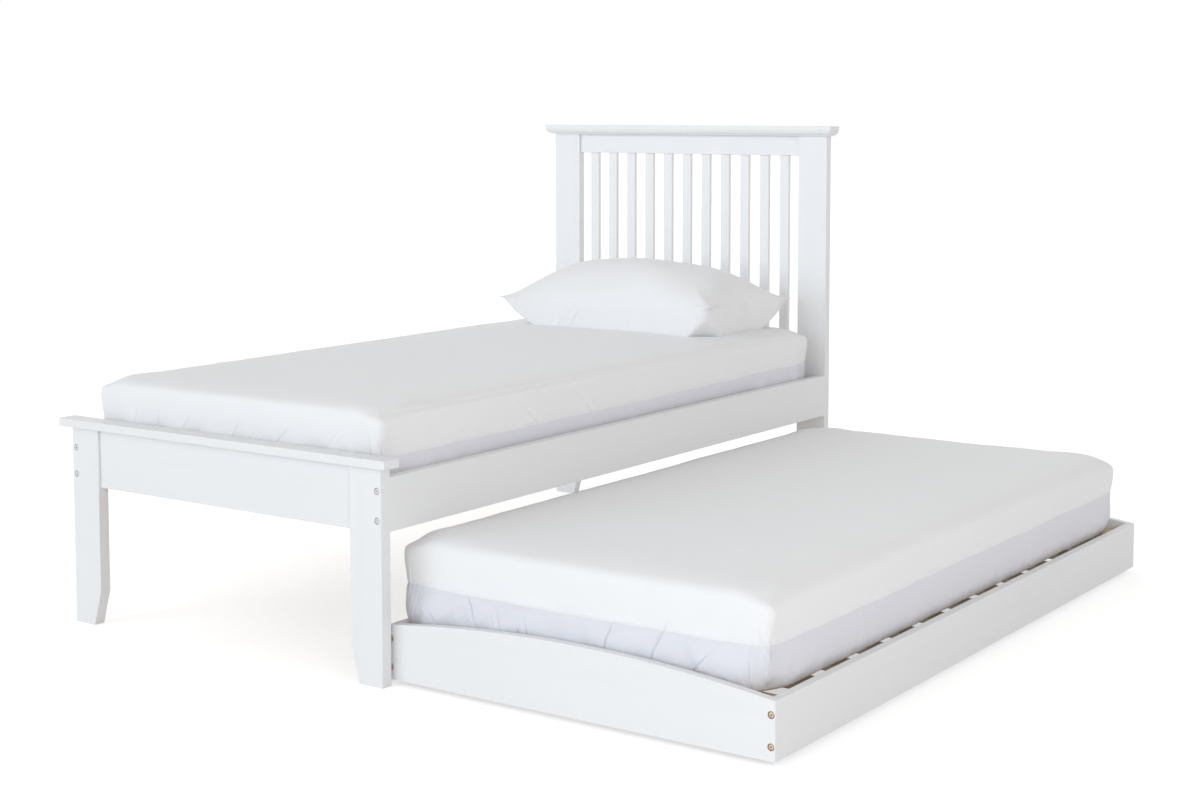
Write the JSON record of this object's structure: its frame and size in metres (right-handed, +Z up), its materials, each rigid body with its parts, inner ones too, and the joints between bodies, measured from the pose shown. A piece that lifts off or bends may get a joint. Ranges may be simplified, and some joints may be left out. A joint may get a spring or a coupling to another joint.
{
  "type": "trundle bed",
  "caption": "White wooden single bed with a slatted headboard and a second bed on castors that rolls out from under its side, both with mattresses.",
  "frame": {"origin": "on the floor, in the middle of the whole footprint with the trundle pulled out", "axes": "+X from the bed towards the pulled-out trundle, +Y from the footboard to the headboard, +Z up"},
  "size_m": [1.951, 2.014, 1.186],
  "materials": {
    "white_paint": "satin white lacquer over pine, faint grain",
    "pine": "bare planed pine",
    "zinc": "bright zinc plate",
    "pressed_steel": "zinc-plated pressed steel",
    "painted_bolt_heads": "pale grey-white painted steel",
    "yellow_zinc": "yellow-passivated steel",
    "nylon_wheel": "matt black nylon",
    "mattress_cover": "fine white jersey with a lavender-grey lower band",
    "pillow_cotton": "smooth white cotton percale"
  },
  "bodies": {
    "bed": {"headboard_post_left": "white_paint", "headboard_post_right": "white_paint", "headboard_top_rail": "white_paint", "headboard_bottom_rail": "white_paint", "headboard_cap": "white_paint", "headboard_spindle_1": "white_paint", "headboard_spindle_2": "white_paint", "headboard_spindle_3": "white_paint", "headboard_spindle_4": "white_paint", "headboard_spindle_5": "white_paint", "headboard_spindle_6": "white_paint", "headboard_spindle_7": "white_paint", "headboard_spindle_8": "white_paint", "headboard_spindle_9": "white_paint", "headboard_spindle_10": "white_paint", "headboard_spindle_11": "white_paint", "footboard_leg_left": "white_paint", "footboard_leg_right": "white_paint", "footboard_panel": "white_paint", "footboard_cap": "white_paint", "side_rail_left": "white_paint", "side_rail_right": "white_paint", "bed_slat_ledgers": "pine", "bed_slats": "pine", "bed_slat_screws": "zinc", "bed_bolts": "painted_bolt_heads", "bed_barrel_nuts": "zinc", "upper_mattress": "mattress_cover", "pillow": "pillow_cotton"},
    "trundle": {"trundle_foot_panel": "white_paint", "trundle_head_panel": "white_paint", "trundle_left_panel": "white_paint", "trundle_right_panel": "white_paint", "trundle_slat_ledgers": "pine", "trundle_slat_1": "pine", "trundle_slat_2": "pine", "trundle_slat_3": "pine", "trundle_slat_4": "pine", "trundle_slat_5": "pine", "trundle_slat_6": "pine", "trundle_slat_7": "pine", "trundle_slat_8": "pine", "trundle_slat_9": "pine", "trundle_slat_10": "pine", "trundle_slat_11": "pine", "trundle_slat_12": "pine", "trundle_slat_13": "pine", "trundle_slat_screws": "zinc", "trundle_bolts": "yellow_zinc", "trundle_barrel_nuts": "zinc", "castor_blocks": "pine", "castor_brackets": "pressed_steel", "castor_axles": "zinc", "castor_screws": "zinc", "trundle_mattress": "mattress_cover"},
    "castor_wheel_foot_left": {"castor_wheel_foot_left": "nylon_wheel"},
    "castor_wheel_foot_right": {"castor_wheel_foot_right": "nylon_wheel"},
    "castor_wheel_head_left": {"castor_wheel_head_left": "nylon_wheel"},
    "castor_wheel_head_right": {"castor_wheel_head_right": "nylon_wheel"}
  },
  "joints": [
    {"name": "trundle_roll", "type": "slide", "parent": "bed", "child": "trundle", "axis": [1, 0, 0], "range_m": [-0.945, 0.4]},
    {"name": "castor_foot_left_spin", "type": "hinge", "parent": "trundle", "child": "castor_wheel_foot_left", "pos_m": [0.0715, -0.859, 0.025], "axis": [0, 1, 0], "continuous": true},
    {"name": "castor_foot_right_spin", "type": "hinge", "parent": "trundle", "child": "castor_wheel_foot_right", "pos_m": [0.9185, -0.859, 0.025], "axis": [0, 1, 0], "continuous": true},
    {"name": "castor_head_left_spin", "type": "hinge", "parent": "trundle", "child": "castor_wheel_head_left", "pos_m": [0.0715, 0.876, 0.025], "axis": [0, 1, 0], "continuous": true},
    {"name": "castor_head_right_spin", "type": "hinge", "parent": "trundle", "child": "castor_wheel_head_right", "pos_m": [0.9185, 0.876, 0.025], "axis": [0, 1, 0], "continuous": true}
  ],
  "couplings": [
    {"joint": "castor_foot_left_spin", "follows": "trundle_roll", "rad_per_m": 40},
    {"joint": "castor_foot_right_spin", "follows": "trundle_roll", "rad_per_m": 40},
    {"joint": "castor_head_left_spin", "follows": "trundle_roll", "rad_per_m": 40},
    {"joint": "castor_head_right_spin", "follows": "trundle_roll", "rad_per_m": 40}
  ]
}
